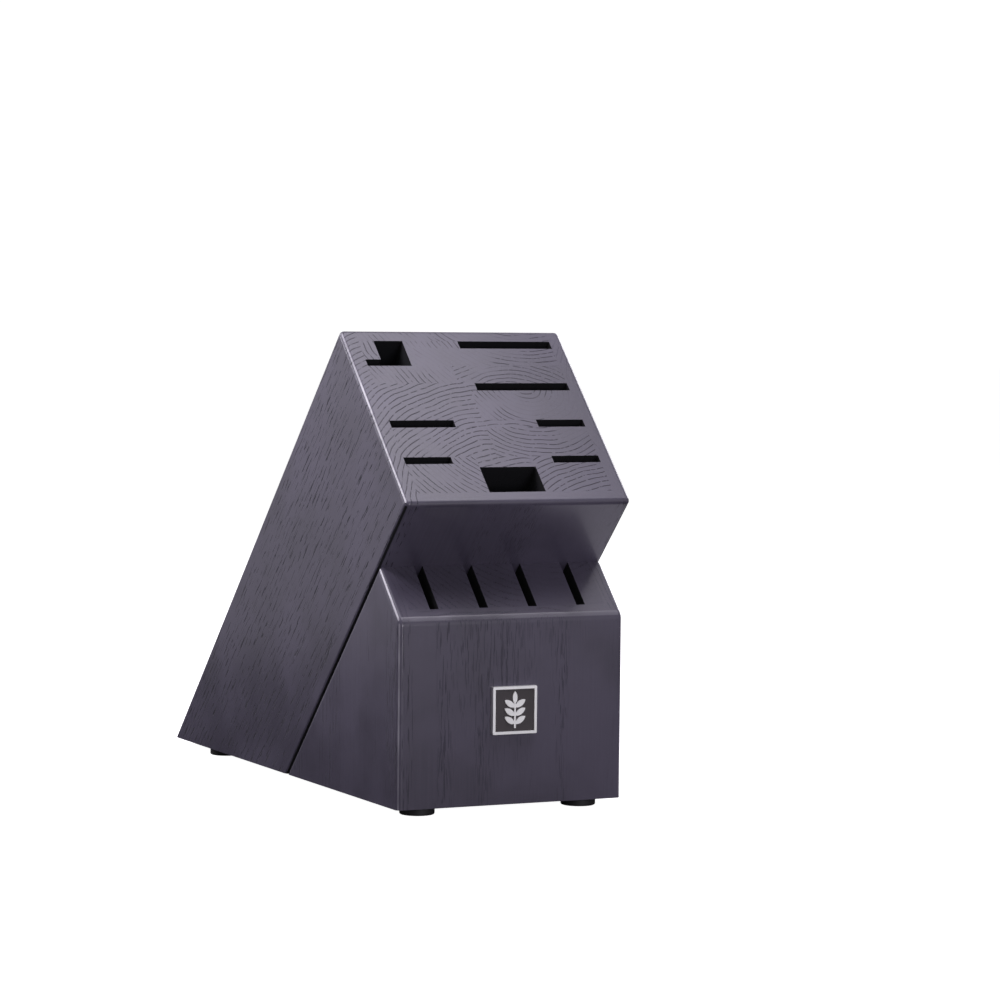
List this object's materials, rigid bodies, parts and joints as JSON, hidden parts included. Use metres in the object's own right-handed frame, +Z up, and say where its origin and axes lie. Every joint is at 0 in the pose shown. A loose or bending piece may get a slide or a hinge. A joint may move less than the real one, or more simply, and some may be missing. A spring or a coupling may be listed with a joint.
{
  "type": "knife block",
  "caption": "Slanted two-part wooden knife block, empty: leaning upper block with blade, steel and shears openings, lower block with upright steak-knife slots, rubber feet and a badge.",
  "frame": {"origin": "middle of the footprint, on the surface the feet stand on", "axes": "+X to the right across the block, +Y to the back, +Z up; the slots rise towards -Y and +Z at 45 degrees"},
  "size_m": [0.1164, 0.2996, 0.2242],
  "materials": {
    "stained_shell": "black-violet stained open-pore ash, satin, long grain on the outer boards",
    "stained_core": "black-violet stained open-pore ash, end grain on the sawn faces",
    "raw_beech": "raw turned beech dowel",
    "foot_rubber": "matt black moulded rubber",
    "plated_steel": "bright zinc plate",
    "badge_metal": "satin nickel-plated casting",
    "badge_enamel": "black enamel fill"
  },
  "bodies": {
    "root": {"back_board": "stained_shell", "badge_enamel": "badge_enamel", "badge_plate": "badge_metal", "boning_block": "stained_core", "foot_front_left": "foot_rubber", "foot_front_right": "foot_rubber", "foot_rear_left": "foot_rubber", "foot_rear_right": "foot_rubber", "foot_screws": "plated_steel", "foot_washers": "plated_steel", "front_board": "stained_shell", "front_core_left": "stained_core", "front_core_right": "stained_core", "kerf_fin_1": "stained_core", "kerf_fin_2": "stained_core", "kerf_fin_3": "stained_core", "kerf_fin_4": "stained_core", "kerf_fin_5": "stained_core", "lower_front_board": "stained_shell", "lower_left_cheek": "stained_shell", "lower_right_cheek": "stained_shell", "middle_core_left": "stained_core", "middle_core_right": "stained_core", "paring_block": "stained_core", "rear_core_left": "stained_core", "rear_core_right": "stained_core", "row1_spacer": "stained_core", "row2_spacer": "stained_core", "row3_spacer": "stained_core", "seam_dowels": "raw_beech", "shears_board": "stained_core", "shears_post": "stained_core", "steel_bridge": "stained_core", "steel_left_leg": "stained_core", "steel_right_leg": "stained_core", "upper_left_cheek": "stained_shell", "upper_right_cheek": "stained_shell"}
  },
  "joints": []
}
